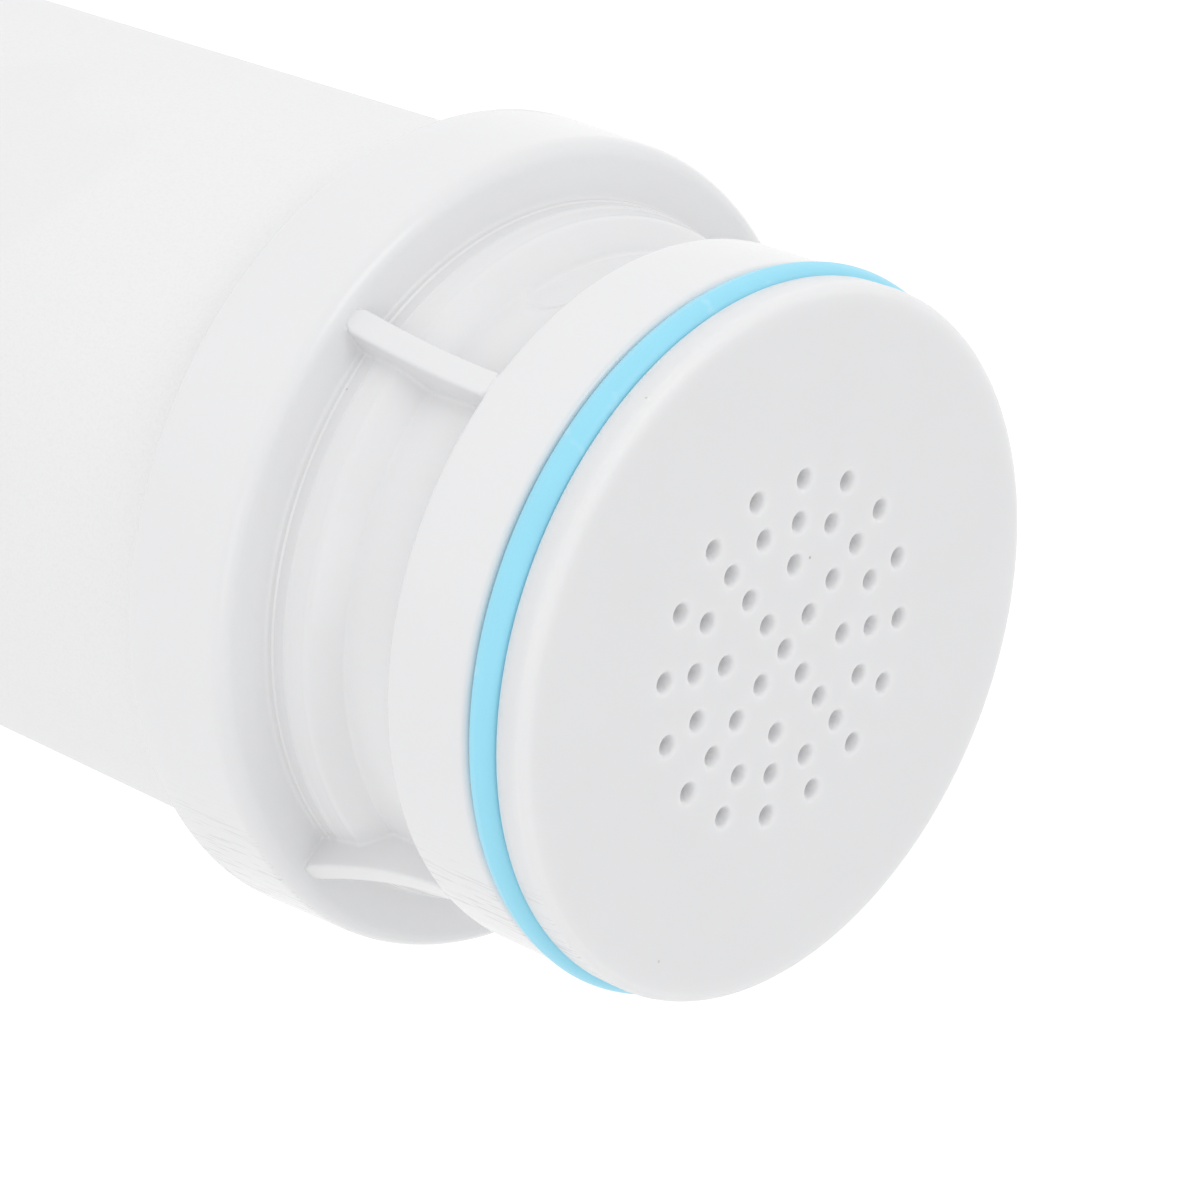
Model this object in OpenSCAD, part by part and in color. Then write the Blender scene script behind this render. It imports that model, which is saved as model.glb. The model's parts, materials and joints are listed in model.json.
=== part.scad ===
// Replaceable shower filter cartridge, standing on its foot ring with the outlet face up.
// The Z axis is the cartridge's own axis. A depth is a distance down from the outlet face.

/* [Overall] */
// Length from the foot ring to the outlet face
total_l = 150; // [125:1:220]
// Outside diameter of the tube
tube_d = 54.2; // [45:0.2:80]
// Wall of the tube
tube_wall = 2; // [1.4:0.1:3]

/* [Collars] */
// Wall of a collar's skirt over the tube, at its closed end
collar_wall = 2.5; // [1.6:0.1:4]
// Length of the front collar
collar_l = 8.9; // [6:0.1:14]
// Length of the rear collar
rear_collar_l = 11; // [6:0.5:18]
// Widening of a skirt from its closed end to its open end, in radius
collar_draft = 0.25; // [0.1:0.05:1]
// Rounding of a collar's closed end
collar_round = 1.3; // [0.5:0.1:1.8]
// Thickness of a collar's end wall
collar_floor = 2.5; // [2:0.1:4]
// Small flat cut round a skirt's open edge
skirt_chamfer = 0.25; // [0.1:0.05:0.5]

/* [Neck] */
// Depth of the front collar's face below the outlet face
neck_l = 23.6; // [21:0.1:32]
// Step in radius from the tube down to the flange
flange_inset = 1.7; // [1.2:0.1:3]
// Length of the flange
flange_l = 7.4; // [5:0.1:8.5]
// Rounding of the flange's edges
flange_round = 0.5; // [0.2:0.1:1]
// Depth of the waist below the flange's side
waist_depth = 2.2; // [1.5:0.1:3]
// Rounding where the flange's back meets the waist
waist_fillet = 1.6; // [0.5:0.1:2.2]
// Wall of the neck under the waist
neck_wall = 2; // [1.5:0.1:3]
// Length of the stepped band between the waist and the collar
step_l = 3.8; // [3:0.1:5]
// Height of that band above the waist, at its front
step_rise = 1.8; // [0.8:0.1:2]
// Further rise of that band up to its first witness step
step_slope = 0.25; // [0.1:0.05:0.8]
// Length of the ramp from the waist up to the band
ramp_l = 1.3; // [1:0.1:2.5]
// Rounding of the band's front shoulder
shoulder_round = 1; // [0.5:0.1:1.2]
// Height of each of the two witness steps between that band and the collar
witness_h = 0.12; // [0.05:0.01:0.3]
// Distance from the collar's face to the nearer witness step
witness_from = 0.5; // [0.2:0.1:0.8]
// Distance between the two witness steps
witness_gap = 1; // [0.5:0.1:1.2]

/* [Ribs] */
// Number of ribs round the neck
rib_count = 4; // [2:1:6]
// Thickness of a rib
rib_t = 1.9; // [0.8:0.1:3]
// Rise of a rib's edge from the flange to the collar, in radius
rib_flare = 2.8; // [1:0.1:3]
// Radius of the hollow in a rib's edge
rib_hollow_r = 30; // [15:1:60]
// Gap in radius between a rib's edge and the flange's side
rib_inset = 0.1; // [0.05:0.05:0.5]

/* [Recesses] */
// Number of shallow recesses in the waist, each midway between two ribs
recess_count = 2; // [1:1:4]
// Angle that a recess spans
recess_angle = 50; // [30:1:60]
// Width of a recess along the axis
recess_w = 3.5; // [3:0.1:5]
// Depth of a recess below the waist
recess_depth = 0.3; // [0.2:0.1:1]
// Gap between a recess and the flange's back
recess_gap = 2.5; // [0.3:0.1:3]

/* [O-ring] */
// Section diameter of the O-ring
oring_d = 2.5; // [1.8:0.05:3]
// Height of the O-ring above the flange's side
oring_proud = 0.4; // [0.2:0.05:0.6]
// Room for the O-ring along its groove, beyond its section
groove_play = 0.1; // [0.05:0.05:0.3]

/* [Outlet plate] */
// Thickness of the outlet plate
plate_t = 2.4; // [2:0.1:3]
// Step in radius from the flange's side down to the plate's rim
plate_inset = 0.2; // [0.1:0.05:0.6]
// Rounding of the plate's rim
plate_round = 0.75; // [0.3:0.05:1.2]
// Distance between the rings of holes
hole_pitch = 3; // [2.5:0.1:3.8]
// Diameter of an outlet hole
hole_d = 1.3; // [0.8:0.1:1.8]
// Width of the chamfer round a hole's mouth
hole_lip = 0.4; // [0.1:0.05:0.5]
// Length of the spigot behind a plate
spigot_l = 5; // [4:0.5:8]
// Wall of that spigot
spigot_wall = 2; // [1.2:0.1:3]

/* [Inlet plate] */
// Thickness of the inlet plate's rim
inlet_t = 1.4; // [1:0.1:1.8]
// Diameter of an inlet hole
inlet_hole_d = 1.6; // [1:0.1:2]
// Width of the ledge that the inlet plate's rim sits on
inlet_ledge = 2; // [1:0.1:3]
// Height of the foot ring
foot_h = 1.5; // [1:0.1:4]
// Width of the foot ring
foot_w = 4; // [2.5:0.1:5]
// Step in radius from the rear collar's rounding in to the foot ring
foot_inset = 0.5; // [0.2:0.1:2]
// Number of notches that let water under the foot ring
notch_count = 4; // [2:1:8]
// Width of a notch
notch_w = 8; // [4:0.5:12]

/* [Filter media] */
// Thickness of a felt disc
felt_t = 3; // [1.5:0.5:4]
// Length of the calcium sulphite bed
sulphite_l = 24; // [10:1:30]
// Length of the copper-zinc bed
brass_l = 8; // [4:1:12]
// Length of the ceramic ball bed
ceramic_l = 18; // [8:1:24]
// Thickness of a support grid
grid_t = 2; // [1.5:0.1:3]
// Width of a support grid's bars
grid_bar = 1.8; // [1.2:0.1:2.5]
// Height of the water space under the rear grid
spreader_h = 4; // [3:0.5:6]
// Thickness of a mesh disc
mesh_t = 0.4; // [0.3:0.05:0.8]
// Diameter of a mesh disc's openings
mesh_hole_d = 1.2; // [0.8:0.1:1.6]
// Width of a mesh holding ring
clamp_w = 2.2; // [1.5:0.1:3]

/* [Fits] */
// Gap in radius between moulded pieces that are welded together
weld_fit = 0.05; // [0.02:0.01:0.1]
// Gap in radius round a felt, a bed or a grid
loose_fit = 0.2; // [0.1:0.05:0.4]

/* [Hidden] */
$fn = 96;
// Overlap of two shapes that only touch
joint_lap = 0.01;
// How far a shape runs into the one that it joins or is cut from
sink = 0.5;
// Angle by which the ramp meets the shoulder's arc short of touching it along a tangent
ramp_kink = 8;
// Each ring of holes: its radius as a number of pitches, and its number of holes
outlet_rings = [[1, 4], [2, 8], [3, 16], [4, 16]];
inlet_rings = [[1, 6], [2, 12], [3, 18], [4, 24]];
mesh_rings = [[1, 6], [2, 12], [3, 18], [4, 24], [5, 30], [6, 36]];
grid_ring_count = 3;
grid_spokes = 8;

tube_r = tube_d / 2;
tube_bore_r = tube_r - tube_wall;
flange_r = tube_r - flange_inset;
waist_r = flange_r - waist_depth;
neck_bore_r = waist_r - neck_wall;
groove_l = oring_d + groove_play;
groove_r = flange_r + oring_proud - oring_d;
flange_from = plate_t + groove_l;
flange_to = flange_from + flange_l;
plate_r = flange_r - plate_inset;
band_from = neck_l - step_l;
ramp_from = band_from - ramp_l;
shoulder_r = waist_r + step_rise;
band_root_r = shoulder_r + step_slope;
witness_1 = neck_l - witness_from - witness_gap;
witness_2 = neck_l - witness_from;
cap_seat = neck_l + collar_floor;
rear_seat = foot_h + collar_floor;
bed_r = tube_bore_r - loose_fit;
rib_root_r = neck_bore_r + neck_wall / 2;

outlet_spigot_r = neck_bore_r - weld_fit;
outlet_pocket_r = outlet_spigot_r - spigot_wall;
inlet_bore_r = neck_bore_r - inlet_ledge;
inlet_spigot_r = inlet_bore_r - weld_fit;
inlet_pocket_r = inlet_spigot_r - spigot_wall;
inlet_pitch = (inlet_pocket_r - clamp_w - inlet_hole_d) / len(inlet_rings);

front_grid_z = total_l - cap_seat - grid_t;
rear_grid_z = rear_seat + spreader_h;
bed_start = rear_grid_z + grid_t;
carbon_l = front_grid_z - bed_start - 5 * felt_t - sulphite_l - brass_l - ceramic_l;
felt_1_z = bed_start;
sulphite_z = felt_1_z + felt_t;
felt_2_z = sulphite_z + sulphite_l;
brass_z = felt_2_z + felt_t;
felt_3_z = brass_z + brass_l;
carbon_z = felt_3_z + felt_t;
felt_4_z = carbon_z + carbon_l;
ceramic_z = felt_4_z + felt_t;
felt_5_z = ceramic_z + ceramic_l;

// Rectangle in the half plane, from one radius and depth to another
module band(r_in, r_out, from, to) {
  translate([r_in, total_l - to]) square([r_out - r_in, to - from]);
}

// The same, with its two outer corners rounded
module rounded_band(r_in, r_out, from, to, q) {
  band(r_in, r_out - q, from, to);
  band(r_in, r_out, from + q, to - q);
  translate([r_out - q, total_l - from - q]) circle(q);
  translate([r_out - q, total_l - to + q]) circle(q);
}

// Half section of a collar, closed end at y = 0 and open end up, round a bore
module collar_profile(l, bore_r) {
  socket_r = tube_r + weld_fit;
  closed_r = socket_r + collar_wall;
  open_r = closed_r + collar_draft;
  translate([bore_r, 0]) square([closed_r - collar_round - bore_r, collar_floor]);
  translate([closed_r - collar_round, collar_round]) circle(collar_round);
  translate([bore_r, collar_round])
    square([closed_r - bore_r, collar_floor - collar_round]);
  polygon([
    [socket_r, collar_round],
    [closed_r, collar_round],
    [open_r, l - skirt_chamfer],
    [open_r - skirt_chamfer, l],
    [socket_r, l]
  ]);
}

// Half section of the neck: groove wall, flange, waist, ramp, stepped band and witness steps.
// The ramp runs from its foot on the waist to the shoulder's arc.
module neck_profile() {
  centre = [shoulder_r - shoulder_round, total_l - band_from - shoulder_round];
  foot = [waist_r, total_l - ramp_from];
  foot_angle = atan2(foot[1] - centre[1], foot[0] - centre[0]);
  meet = foot_angle - acos(shoulder_round / norm(foot - centre)) + ramp_kink;
  band(neck_bore_r, groove_r, plate_t, flange_from + sink);
  rounded_band(neck_bore_r, flange_r, flange_from, flange_to, flange_round);
  band(neck_bore_r, waist_r, flange_to - sink, neck_l + sink);
  difference() {
    band(waist_r - joint_lap, waist_r + waist_fillet, flange_to - joint_lap, flange_to + waist_fillet);
    translate([waist_r + waist_fillet, total_l - flange_to - waist_fillet]) circle(waist_fillet);
  }
  polygon([
    [waist_r - sink, foot[1]],
    foot,
    centre + shoulder_round * [cos(meet), sin(meet)],
    [shoulder_r, centre[1]],
    [band_root_r, total_l - witness_1],
    [waist_r - sink, total_l - witness_1]
  ]);
  translate(centre) circle(shoulder_round);
  band(neck_bore_r, band_root_r + witness_h, witness_1 - joint_lap, neck_l + sink);
  band(neck_bore_r, band_root_r + 2 * witness_h, witness_2, neck_l + sink);
}

// One rib on the +X side, with a hollow arc from the flange's back to the collar's face
module rib() {
  edge_r = flange_r - rib_inset;
  rib_l = neck_l - flange_to;
  chord = sqrt(rib_l * rib_l + rib_flare * rib_flare);
  reach = sqrt(rib_hollow_r * rib_hollow_r - chord * chord / 4);
  centre_r = edge_r + rib_flare / 2 + reach * rib_l / chord;
  centre_z = total_l - (flange_to + neck_l) / 2 + reach * rib_flare / chord;
  translate([0, rib_t / 2, 0])
    rotate([90, 0, 0])
      linear_extrude(rib_t)
        difference() {
          union() {
            band(rib_root_r, edge_r, flange_to - sink, neck_l + sink);
            band(rib_root_r, edge_r + rib_flare, flange_to, neck_l + sink);
          }
          translate([centre_r, centre_z]) circle(rib_hollow_r, $fn = 360);
        }
}

// One shallow recess with round ends, centred on the +X side
module recess() {
  from = flange_to + recess_gap;
  mid_z = total_l - from - recess_w / 2;
  end_angle = recess_angle / 2 - asin(recess_w / 2 / waist_r);
  rotate([0, 0, -end_angle])
    rotate_extrude(angle = 2 * end_angle)
      band(waist_r - recess_depth, flange_r, from, from + recess_w);
  intersection() {
    rotate_extrude() band(waist_r - recess_depth, flange_r, from, from + recess_w);
    for (side = [-1, 1])
      rotate([0, 0, side * end_angle])
        translate([waist_r - 2 * recess_depth, 0, mid_z])
          rotate([0, 90, 0])
            cylinder(h = waist_depth + 4 * recess_depth, d = recess_w);
  }
}

module front_cap() {
  color([0.93, 0.94, 0.95])
    difference() {
      union() {
        rotate_extrude() neck_profile();
        translate([0, 0, total_l - neck_l])
          mirror([0, 0, 1])
            rotate_extrude() collar_profile(collar_l, neck_bore_r);
        for (i = [0 : rib_count - 1])
          rotate([0, 0, i * 360 / rib_count]) rib();
      }
      for (i = [0 : recess_count - 1])
        rotate([0, 0, (floor(i * rib_count / recess_count) - 0.5) * 360 / rib_count]) recess();
    }
}

// Holes on rings at whole multiples of a pitch, drilled along Z, with one in the middle
module hole_field(rings, pitch, d, h) {
  cylinder(h = h, d = d);
  for (ring = rings)
    for (i = [0 : ring[1] - 1])
      rotate([0, 0, i * 360 / ring[1]])
        translate([ring[0] * pitch, 0, 0])
          cylinder(h = h, d = d);
}

// Chamfered mouths for such a field, cut into a face at Z = 0
module mouth_field(rings, pitch, d, lip) {
  mouth(d, lip);
  for (ring = rings)
    for (i = [0 : ring[1] - 1])
      rotate([0, 0, i * 360 / ring[1]])
        translate([ring[0] * pitch, 0, 0])
          mouth(d, lip);
}

module mouth(d, lip) {
  translate([0, 0, -lip]) cylinder(h = lip + joint_lap, d1 = d, d2 = d + 2 * lip);
}

module outlet_plate() {
  color([0.92, 0.93, 0.94])
    difference() {
      rotate_extrude() {
        band(0, plate_r - plate_round, 0, plate_t);
        band(0, plate_r, plate_round, plate_t);
        translate([plate_r - plate_round, total_l - plate_round]) circle(plate_round);
        band(outlet_pocket_r, outlet_spigot_r, plate_t - sink, plate_t + spigot_l);
      }
      translate([0, 0, total_l - plate_t - sink])
        hole_field(outlet_rings, hole_pitch, hole_d, plate_t + 2 * sink);
      translate([0, 0, total_l])
        mouth_field(outlet_rings, hole_pitch, hole_d, hole_lip);
    }
}

module front_o_ring() {
  color([0.55, 0.87, 0.96])
    rotate_extrude()
      translate([groove_r + oring_d / 2, total_l - plate_t - groove_l / 2]) circle(oring_d / 2);
}

module shell_tube() {
  color([0.96, 0.96, 0.95])
    translate([0, 0, rear_seat])
      difference() {
        cylinder(h = total_l - cap_seat - rear_seat, r = tube_r);
        translate([0, 0, -sink]) cylinder(h = total_l, r = tube_bore_r);
      }
}

// Perforated metal mesh disc
module screen(r) {
  pitch = (r - clamp_w - mesh_hole_d / 2) / (len(mesh_rings) + 0.5);
  difference() {
    cylinder(h = mesh_t, r = r);
    translate([0, 0, -sink]) hole_field(mesh_rings, pitch, mesh_hole_d, mesh_t + 2 * sink);
  }
}

// Plastic ring that holds a mesh disc in a spigot
module screen_ring(r, h) {
  difference() {
    cylinder(h = h, r = r);
    translate([0, 0, -sink]) cylinder(h = h + 2 * sink, r = r - clamp_w);
  }
}

module outlet_screen() {
  color([0.7, 0.7, 0.72])
    translate([0, 0, total_l - plate_t - mesh_t])
      screen(outlet_pocket_r - weld_fit);
}

module outlet_screen_ring() {
  color([0.9, 0.9, 0.9])
    translate([0, 0, total_l - plate_t - spigot_l])
      screen_ring(outlet_pocket_r - weld_fit, spigot_l - mesh_t);
}

module outlet_cotton() {
  top = plate_t + spigot_l;
  color([0.97, 0.97, 0.95])
    translate([0, 0, total_l - cap_seat])
      cylinder(h = cap_seat - top, r = neck_bore_r - loose_fit);
}

// Moulded grid: rings and spokes inside an outer rim
module grid_disc() {
  hub_r = 2 * grid_bar;
  ring_step = (bed_r - hub_r) / grid_ring_count;
  for (i = [1 : grid_ring_count])
    difference() {
      cylinder(h = grid_t, r = hub_r + i * ring_step);
      translate([0, 0, -sink])
        cylinder(h = grid_t + 2 * sink, r = hub_r + i * ring_step - grid_bar);
    }
  cylinder(h = grid_t, r = hub_r);
  for (i = [0 : grid_spokes - 1])
    rotate([0, 0, i * 360 / grid_spokes])
      translate([hub_r / 2, -grid_bar / 2, 0])
        cube([bed_r - hub_r / 2 - grid_bar / 2, grid_bar, grid_t]);
}

module front_grid() {
  color([0.85, 0.87, 0.88])
    translate([0, 0, front_grid_z]) grid_disc();
}

module rear_grid() {
  color([0.85, 0.87, 0.88]) {
    translate([0, 0, rear_grid_z]) grid_disc();
    translate([0, 0, rear_seat])
      difference() {
        cylinder(h = spreader_h + sink, r = bed_r);
        translate([0, 0, -sink]) cylinder(h = spreader_h + 3 * sink, r = bed_r - grid_bar);
      }
  }
}

module media(z, l) {
  translate([0, 0, z]) cylinder(h = l, r = bed_r);
}

module felt(z) {
  color([0.95, 0.95, 0.92]) media(z, felt_t);
}

module sulphite_bed() {
  color([0.9, 0.9, 0.86]) media(sulphite_z, sulphite_l);
}

module brass_bed() {
  color([0.78, 0.62, 0.3]) media(brass_z, brass_l);
}

module carbon_bed() {
  color([0.1, 0.1, 0.11]) media(carbon_z, carbon_l);
}

module ceramic_bed() {
  color([0.86, 0.83, 0.78]) media(ceramic_z, ceramic_l);
}

module inlet_plate() {
  color([0.92, 0.93, 0.94])
    difference() {
      union() {
        translate([0, 0, foot_h]) cylinder(h = inlet_t, r = neck_bore_r - weld_fit);
        translate([0, 0, foot_h + inlet_t - sink])
          difference() {
            cylinder(h = spigot_l + sink, r = inlet_spigot_r);
            cylinder(h = spigot_l + 2 * sink, r = inlet_pocket_r);
          }
      }
      translate([0, 0, foot_h - sink])
        hole_field(inlet_rings, inlet_pitch, inlet_hole_d, inlet_t + 2 * sink);
    }
}

module inlet_screen() {
  color([0.7, 0.7, 0.72])
    translate([0, 0, foot_h + inlet_t])
      screen(inlet_pocket_r - weld_fit);
}

module inlet_screen_ring() {
  color([0.9, 0.9, 0.9])
    translate([0, 0, foot_h + inlet_t + mesh_t])
      screen_ring(inlet_pocket_r - weld_fit, spigot_l - mesh_t);
}

module rear_cap() {
  foot_r = tube_r + weld_fit + collar_wall - collar_round - foot_inset;
  color([0.93, 0.94, 0.95])
    difference() {
      union() {
        translate([0, 0, foot_h]) rotate_extrude() collar_profile(rear_collar_l, inlet_bore_r);
        difference() {
          cylinder(h = foot_h + sink, r = foot_r);
          translate([0, 0, -sink]) cylinder(h = foot_h + 3 * sink, r = foot_r - foot_w);
          for (i = [0 : notch_count - 1])
            rotate([0, 0, i * 360 / notch_count])
              translate([0, -notch_w / 2, -sink])
                cube([2 * foot_r, notch_w, foot_h + sink]);
        }
      }
      translate([0, 0, foot_h - sink]) cylinder(h = inlet_t + sink, r = neck_bore_r);
    }
}

front_cap();
outlet_plate();
front_o_ring();
shell_tube();
outlet_screen();
outlet_screen_ring();
outlet_cotton();
front_grid();
felt(felt_1_z);  // felt_1
felt(felt_2_z);  // felt_2
felt(felt_3_z);  // felt_3
felt(felt_4_z);  // felt_4
felt(felt_5_z);  // felt_5
carbon_bed();
brass_bed();
sulphite_bed();
ceramic_bed();
rear_grid();
inlet_screen();
inlet_screen_ring();
inlet_plate();
rear_cap();
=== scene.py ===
# %% [markdown]
# # A shower filter cartridge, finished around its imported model
#
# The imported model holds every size. It is loaded first and stays as it is. This file adds what a
# person sees and touches: moulded edges, a soft rubber ring, fine grain, light and a camera.
# Sizes below are in millimetres, and heights are measured from the end that the cartridge stands on.

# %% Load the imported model
import json
import math

import bmesh
import bpy
from mathutils import Matrix, Vector


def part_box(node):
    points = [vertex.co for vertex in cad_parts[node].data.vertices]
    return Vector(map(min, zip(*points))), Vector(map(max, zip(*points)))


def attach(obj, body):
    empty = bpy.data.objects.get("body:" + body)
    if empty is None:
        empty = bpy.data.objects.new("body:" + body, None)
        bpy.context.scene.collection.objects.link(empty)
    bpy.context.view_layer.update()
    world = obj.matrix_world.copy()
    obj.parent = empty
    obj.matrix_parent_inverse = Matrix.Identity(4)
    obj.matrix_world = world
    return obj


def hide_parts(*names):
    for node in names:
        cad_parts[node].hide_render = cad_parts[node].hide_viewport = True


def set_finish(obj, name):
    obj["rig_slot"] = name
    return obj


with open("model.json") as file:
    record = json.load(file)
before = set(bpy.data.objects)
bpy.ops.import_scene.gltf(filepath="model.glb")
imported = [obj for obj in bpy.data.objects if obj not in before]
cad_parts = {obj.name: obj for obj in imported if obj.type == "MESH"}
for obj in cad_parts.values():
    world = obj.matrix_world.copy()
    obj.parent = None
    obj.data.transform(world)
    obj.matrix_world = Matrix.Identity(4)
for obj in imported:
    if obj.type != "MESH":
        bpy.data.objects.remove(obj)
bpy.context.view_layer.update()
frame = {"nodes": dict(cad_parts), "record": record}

MM = 0.001
print("packed nodes:", len(frame["nodes"]))

# %% [markdown]
# ## Sizes
#
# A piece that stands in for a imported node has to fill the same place, so its main sizes are read
# from that node's box. Only what a box can't tell is written down here: edge roundings, steps and
# the hole pattern. The radius of a round node is the highest X of its box.

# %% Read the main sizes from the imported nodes


def radius(node):
    """Outer radius of a round node, in mm."""
    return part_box(node)[1].x / MM


def heights(node):
    """Lowest and highest point of a node, in mm."""
    low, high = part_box(node)
    return low.z / MM, high.z / MM


top = heights("outlet_plate")[1]
plate_r = radius("outlet_plate")
ring_outer_r = radius("front_o_ring")
ring_low, ring_high = heights("front_o_ring")
ring_d = ring_high - ring_low
tube_r = radius("shell_tube")
tube_low, tube_high = heights("shell_tube")
collar_open_r = radius("front_cap")
collar_end = heights("front_cap")[0]
cotton_high = heights("outlet_cotton")[1]
print("outlet face at", round(top, 2), "plate radius", round(plate_r, 2), "tube radius", round(tube_r, 2))
print("O-ring section", round(ring_d, 2), "from", round(ring_low, 2), "to", round(ring_high, 2))

# %% Sizes that a box can't tell
fit_gap = 0.05
wall = 2.0
plate_t = 2.4
plate_round = 0.75
hole_r = 0.65
hole_lip = 0.4
hole_pitch = 3.0
outlet_rings = ((1, 4), (2, 8), (3, 16), (4, 16))

ring_proud = 0.4
flange_r = ring_outer_r - ring_proud
flange_top = ring_low - 0.05
flange_l = 7.4
flange_round = 0.5
groove_r = ring_outer_r - ring_d
waist_r = flange_r - 2.2
waist_fillet = 1.6
bore_r = waist_r - wall
shoulder_r = waist_r + 1.8
shoulder_round = 1.0
step_slope = 0.25
ramp_l = 1.3
step_l = 3.8
neck_l = 23.6
witness_h = 0.12
witness_from = 0.5
witness_gap = 1.0

collar_wall = 2.5
collar_round = 1.3
collar_floor = 2.5
socket_r = tube_r + fit_gap
collar_closed_r = socket_r + collar_wall

rib_count = 4
rib_t = 1.9
rib_flare = 2.8
rib_hollow_r = 30.0
rib_inset = 0.1
recess_depth = 0.3
recess_w = 3.5
recess_gap = 2.5
recess_angle = 50.0
print("flange radius", round(flange_r, 2), "waist radius", round(waist_r, 2))

# %% [markdown]
# ## Outlines
#
# Nearly every piece here is turned: it is one outline swung round the axis. An outline is a list of
# (radius, height) pairs. Straight stretches need only their ends. A rounded corner is a short arc,
# and it is drawn rather than bevelled afterwards, so that its size is exact and its faces are even.

# %% Draw outlines with lines and arcs


def arc(centre, size, start, end, steps):
    """Points on an arc. Angles are in degrees from straight outward, and grow upward."""
    points = []
    for i in range(steps + 1):
        angle = math.radians(start + (end - start) * i / steps)
        points.append((centre[0] + size * math.cos(angle), centre[1] + size * math.sin(angle)))
    return points


def line(start, end, steps):
    """Evenly spaced points from start to end, without the end itself."""
    points = []
    for i in range(steps):
        t = i / steps
        points.append((start[0] + (end[0] - start[0]) * t, start[1] + (end[1] - start[1]) * t))
    return points


def ease(t):
    """Smooth step from 0 to 1."""
    t = min(max(t, 0.0), 1.0)
    return t * t * (3 - 2 * t)


print("a quarter arc in 4 steps:", [(round(r, 2), round(z, 2)) for r, z in arc((0, 0), 1, 0, 90, 4)])

# %% [markdown]
# ## From a grid of points to a solid
#
# A turned piece is a grid: one row for each point of the outline, one column for each direction. If
# both ways close on themselves, the grid is a watertight solid made of four-sided faces. Corners
# sharper than a set angle are marked sharp, so that the shading breaks there and nowhere else.

# %% Make solids from grids
sharp_angle = math.radians(38)


def finish_mesh(mesh, piece_name):
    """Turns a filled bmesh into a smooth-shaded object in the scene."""
    bmesh.ops.remove_doubles(mesh, verts=mesh.verts, dist=0.0004 * MM)
    bmesh.ops.recalc_face_normals(mesh, faces=mesh.faces)
    for face in mesh.faces:
        face.smooth = True
    for edge in mesh.edges:
        if len(edge.link_faces) == 2:
            edge.smooth = edge.calc_face_angle(0.0) < sharp_angle
    data = bpy.data.meshes.new(piece_name)
    mesh.to_mesh(data)
    mesh.free()
    piece = bpy.data.objects.new(piece_name, data)
    bpy.context.scene.collection.objects.link(piece)
    print(piece_name, "has", len(data.polygons), "faces")
    return piece


def grid_solid(piece_name, rows, columns, place):
    """A solid whose point (i, j) is place(i, j) in mm. Both ways round, the grid closes on itself."""
    mesh = bmesh.new()
    grid = []
    for i in range(rows):
        grid.append([mesh.verts.new(Vector(place(i, j)) * MM) for j in range(columns)])
    for i in range(rows):
        upper, lower = grid[i], grid[(i + 1) % rows]
        for j in range(columns):
            k = (j + 1) % columns
            mesh.faces.new((upper[j], lower[j], lower[k], upper[k]))
    return finish_mesh(mesh, piece_name)


def turned(piece_name, outline, columns):
    """A closed outline swung once round the Z axis."""
    turns = [(math.cos(math.tau * j / columns), math.sin(math.tau * j / columns)) for j in range(columns)]

    def place(i, j):
        r, z = outline[i]
        return r * turns[j][0], r * turns[j][1], z

    return grid_solid(piece_name, len(outline), columns, place)


def stand_for(piece, node, slot_name):
    """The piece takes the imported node's place, body and finish."""
    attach(piece, "root")
    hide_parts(node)
    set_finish(piece, slot_name)
    return piece


# %% [markdown]
# ## Neck and collar
#
# One moulding carries the O-ring groove, the flange, the waist, four thin ribs and the collar that
# is welded over the tube. The ribs could be joined on with a Boolean, but that leaves slivers where
# they meet the neck. Instead they grow out of the same grid: where a column crosses a rib, its rows
# are lifted from the neck's outline to the rib's edge. That gives small fillets for nothing.

# %% Outline of the neck, from the groove down to the collar's open end
collar_face = top - neck_l
witness_2 = collar_face + witness_from
witness_1 = witness_2 + witness_gap
band_top = collar_face + step_l
ramp_top = band_top + ramp_l
flange_bottom = flange_top - flange_l
seat = collar_face - collar_floor
first_step_share = 0.6
skin = 0.04
back_steps = 6
foot_soft = 0.45
open_edge = 0.22


def small_step(r, z, height):
    """A tiny step outward by that height, going down, with softened corners."""
    return [(r, z + 2 * skin), (r + skin, z + skin), (r + height - skin, z), (r + height, z - skin)]


def outline_above_neck():
    """Groove wall, flange face and flange side, going down."""
    inner = flange_r - flange_round
    points = line((bore_r, top - plate_t), (groove_r - 0.1, top - plate_t), 2)
    points += arc((groove_r - 0.1, top - plate_t - 0.1), 0.1, 90, 0, 2)
    points += line((groove_r, flange_top + 0.15), (groove_r + 0.15, flange_top), 2)
    points += line((groove_r + 0.15, flange_top), (inner, flange_top), 2)
    points += arc((inner, flange_top - flange_round), flange_round, 90, 0, 6)
    points += line((flange_r, flange_top - flange_round - 0.2), (flange_r, flange_bottom + flange_round), 5)
    return points


def ramp_and_shoulder():
    """A soft foot on the waist, a straight ramp and the shoulder's arc that it touches."""
    centre = (shoulder_r - shoulder_round, band_top - shoulder_round)
    across, along = waist_r - centre[0], ramp_top - centre[1]
    touch = math.atan2(along, across) - math.acos(shoulder_round / math.hypot(across, along))
    back = foot_soft * math.tan(touch / 2)
    tilt = math.degrees(touch)
    points = arc((waist_r + foot_soft, ramp_top + back), foot_soft, 180, 180 + tilt, 5)
    start = (centre[0] + shoulder_round * math.cos(touch), centre[1] + shoulder_round * math.sin(touch))
    points += line(points[-1], start, 3)[1:]
    return points + arc(centre, shoulder_round, tilt, 0, 8)


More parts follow.
